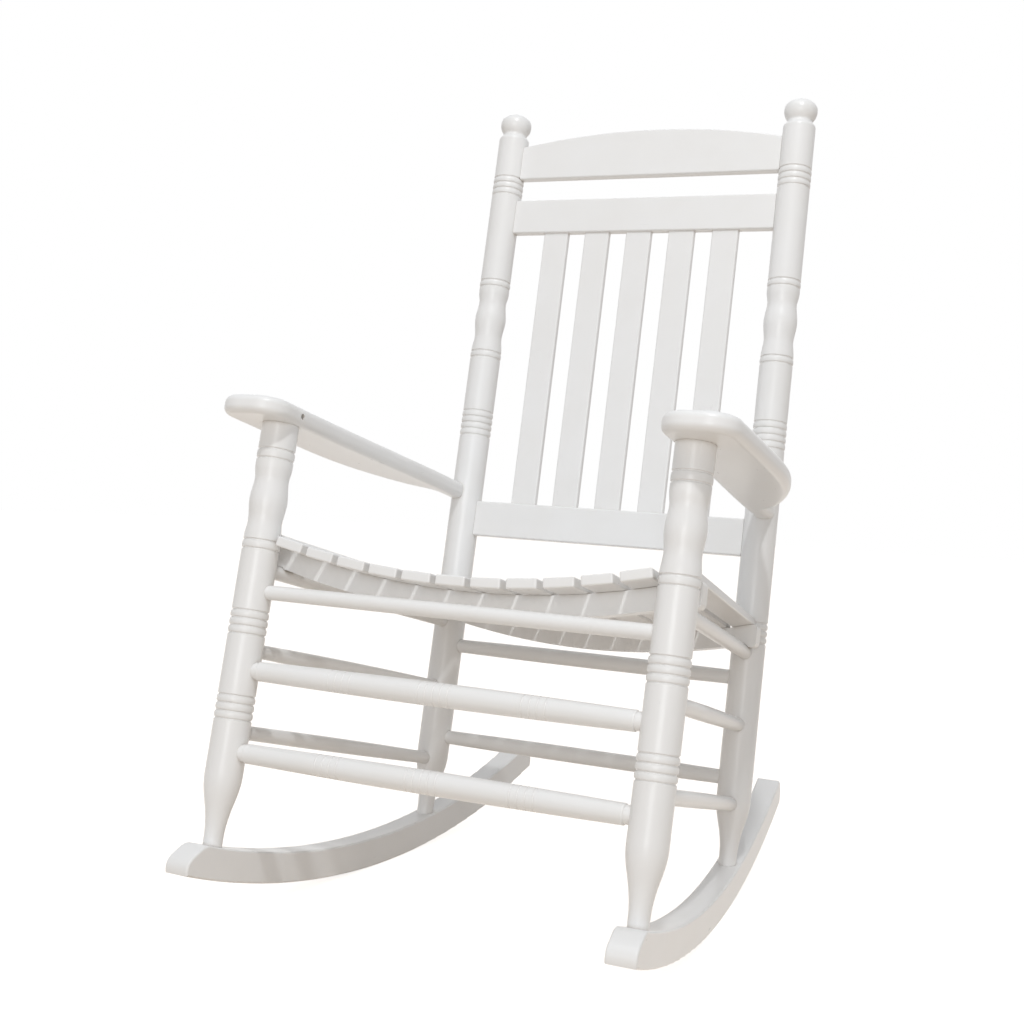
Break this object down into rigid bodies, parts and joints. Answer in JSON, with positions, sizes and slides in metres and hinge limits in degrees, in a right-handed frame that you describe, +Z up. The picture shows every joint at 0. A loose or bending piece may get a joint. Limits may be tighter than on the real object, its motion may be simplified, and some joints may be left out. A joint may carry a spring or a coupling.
{
  "type": "rocking chair",
  "caption": "White painted wooden porch rocking chair with turned posts, flat arms, a slatted bowl seat, an upright slatted back and curved rockers.",
  "frame": {"origin": "on the floor, under the middle of the chair's overall box, with the chair at rest on its rockers", "axes": "+X to the right as seen from the front, +Y to the back, +Z up"},
  "size_m": [0.6696, 0.8394, 1.1254],
  "materials": {
    "painted_wood": "semi-gloss white paint on sanded hardwood",
    "screw_steel": "zinc plated"
  },
  "bodies": {
    "root": {"arm_left": "painted_wood", "arm_right": "painted_wood", "arm_screws": "screw_steel", "back_post_left": "painted_wood", "back_post_right": "painted_wood", "back_rung_lower": "painted_wood", "back_rung_upper": "painted_wood", "back_slat_1": "painted_wood", "back_slat_2": "painted_wood", "back_slat_3": "painted_wood", "back_slat_4": "painted_wood", "back_slat_5": "painted_wood", "crest_rail": "painted_wood", "front_post_left": "painted_wood", "front_post_right": "painted_wood", "front_rung_lower": "painted_wood", "front_rung_middle": "painted_wood", "front_rung_top": "painted_wood", "front_seat_rail": "painted_wood", "lower_back_rail": "painted_wood", "rear_seat_rail": "painted_wood", "rocker_left": "painted_wood", "rocker_right": "painted_wood", "rocker_screws": "screw_steel", "seat_rail_screws": "screw_steel", "seat_slat_1": "painted_wood", "seat_slat_10": "painted_wood", "seat_slat_11": "painted_wood", "seat_slat_12": "painted_wood", "seat_slat_13": "painted_wood", "seat_slat_2": "painted_wood", "seat_slat_3": "painted_wood", "seat_slat_4": "painted_wood", "seat_slat_5": "painted_wood", "seat_slat_6": "painted_wood", "seat_slat_7": "painted_wood", "seat_slat_8": "painted_wood", "seat_slat_9": "painted_wood", "seat_slat_screws": "screw_steel", "side_rung_lower_left": "painted_wood", "side_rung_lower_right": "painted_wood", "side_rung_middle_left": "painted_wood", "side_rung_middle_right": "painted_wood", "side_rung_upper_left": "painted_wood", "side_rung_upper_right": "painted_wood", "upper_back_rail": "painted_wood"}
  },
  "joints": []
}
